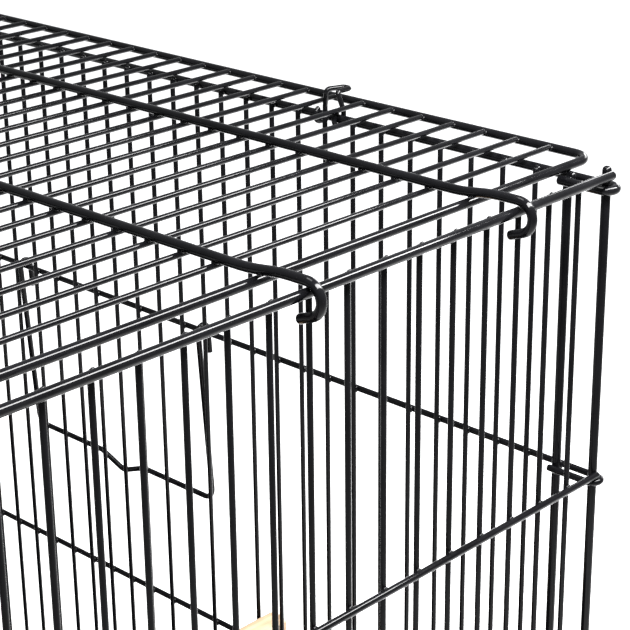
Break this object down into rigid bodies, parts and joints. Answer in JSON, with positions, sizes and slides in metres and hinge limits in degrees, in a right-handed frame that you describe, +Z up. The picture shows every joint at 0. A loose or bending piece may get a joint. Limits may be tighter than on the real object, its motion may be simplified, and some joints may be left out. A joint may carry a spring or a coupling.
{
  "type": "wire small animal cage",
  "caption": "Rectangular cage of close upright black coated wires, with a hooked lift-up wire roof, feeder hangers, front door, tray and wooden perch.",
  "frame": {"origin": "on the ground, under the middle of the cage", "axes": "+Z up, +X towards the end where the roof is hinged, +Y towards the rear wall with the feeder hangers"},
  "size_m": [0.7932, 0.4979, 0.4512],
  "materials": {
    "black_coat": "glossy black epoxy coat on steel wire",
    "tray_plastic": "satin black moulded plastic",
    "foot_plastic": "matt black moulded plastic",
    "perch_wood": "bare sanded softwood"
  },
  "bodies": {
    "cage": {"right_end_wires": "black_coat", "right_end_rails": "black_coat", "left_end_wires": "black_coat", "left_end_rails": "black_coat", "corner_post_rear_right": "black_coat", "corner_post_rear_left": "black_coat", "corner_post_front_right": "black_coat", "corner_post_front_left": "black_coat", "rear_wall_wires": "black_coat", "rear_wall_rails": "black_coat", "rear_wall_posts": "black_coat", "front_wall_wires": "black_coat", "front_wall_rails": "black_coat", "front_wall_posts": "black_coat", "front_doorway_frame": "black_coat", "floor_wires": "black_coat", "floor_cross_rods": "black_coat", "tray_rest_rods": "black_coat", "foot_rear_right": "foot_plastic", "foot_rear_left": "foot_plastic", "foot_front_right": "foot_plastic", "foot_front_left": "foot_plastic", "front_door_hinge_lower": "black_coat", "front_door_hinge_upper": "black_coat", "front_bolt_keeper": "black_coat"},
    "roof": {"roof_frame": "black_coat", "roof_wires": "black_coat", "roof_hook_rod_1": "black_coat", "roof_hook_rod_2": "black_coat", "roof_hook_rod_3": "black_coat", "roof_hook_rod_4": "black_coat"},
    "roof_latch_rear_right": {"roof_latch_rear_right": "black_coat"},
    "roof_latch_rear_left": {"roof_latch_rear_left": "black_coat"},
    "roof_latch_front_right": {"roof_latch_front_right": "black_coat"},
    "roof_latch_front_left": {"roof_latch_front_left": "black_coat"},
    "feeder_hanger_right": {"feeder_hanger_right": "black_coat"},
    "feeder_hanger_left": {"feeder_hanger_left": "black_coat"},
    "front_door": {"front_door_frame": "black_coat", "front_door_wires": "black_coat", "front_door_bolt_eyes": "black_coat"},
    "front_door_bolt": {"front_door_bolt": "black_coat"},
    "tray": {"tray_pan": "tray_plastic", "tray_grip": "black_coat"},
    "perch": {"perch_dowel": "perch_wood"}
  },
  "joints": [
    {"name": "roof_hinge", "type": "hinge", "parent": "cage", "child": "roof", "pos_m": [0.38925, 0, 0.445], "axis": [0, 1, 0], "range_deg": [0, 110]},
    {"name": "roof_latch_rear_right_turn", "type": "hinge", "parent": "cage", "child": "roof_latch_rear_right", "pos_m": [0.24335, 0.23245, 0.4394], "axis": [1, 0, 0], "range_deg": [-8, 50]},
    {"name": "roof_latch_front_right_turn", "type": "hinge", "parent": "cage", "child": "roof_latch_front_right", "pos_m": [0.24335, -0.23245, 0.4394], "axis": [-1, 0, 0], "range_deg": [-8, 50]},
    {"name": "roof_latch_rear_left_turn", "type": "hinge", "parent": "cage", "child": "roof_latch_rear_left", "pos_m": [-0.24335, 0.23245, 0.4394], "axis": [1, 0, 0], "range_deg": [-8, 50]},
    {"name": "roof_latch_front_left_turn", "type": "hinge", "parent": "cage", "child": "roof_latch_front_left", "pos_m": [-0.24335, -0.23245, 0.4394], "axis": [-1, 0, 0], "range_deg": [-8, 50]},
    {"name": "feeder_hanger_right_swing", "type": "hinge", "parent": "cage", "child": "feeder_hanger_right", "pos_m": [0.0942, 0.23205, 0.3201], "axis": [1, 0, 0], "range_deg": [-1, 80]},
    {"name": "feeder_hanger_left_swing", "type": "hinge", "parent": "cage", "child": "feeder_hanger_left", "pos_m": [-0.0942, 0.23205, 0.3201], "axis": [1, 0, 0], "range_deg": [-1, 80]},
    {"name": "front_door_swing", "type": "hinge", "parent": "cage", "child": "front_door", "pos_m": [-0.13345, -0.236, 0.212], "axis": [0, 0, -1], "range_deg": [0, 165]},
    {"name": "front_door_bolt_slide", "type": "slide", "parent": "front_door", "child": "front_door_bolt", "axis": [1, 0, 0], "range_m": [0, 0.024]},
    {"name": "tray_slide", "type": "slide", "parent": "cage", "child": "tray", "axis": [0, -1, 0], "range_m": [0, 0.43]},
    {"name": "perch_lift", "type": "slide", "parent": "cage", "child": "perch", "axis": [0, 0, 1], "range_m": [0, 0.1]}
  ]
}
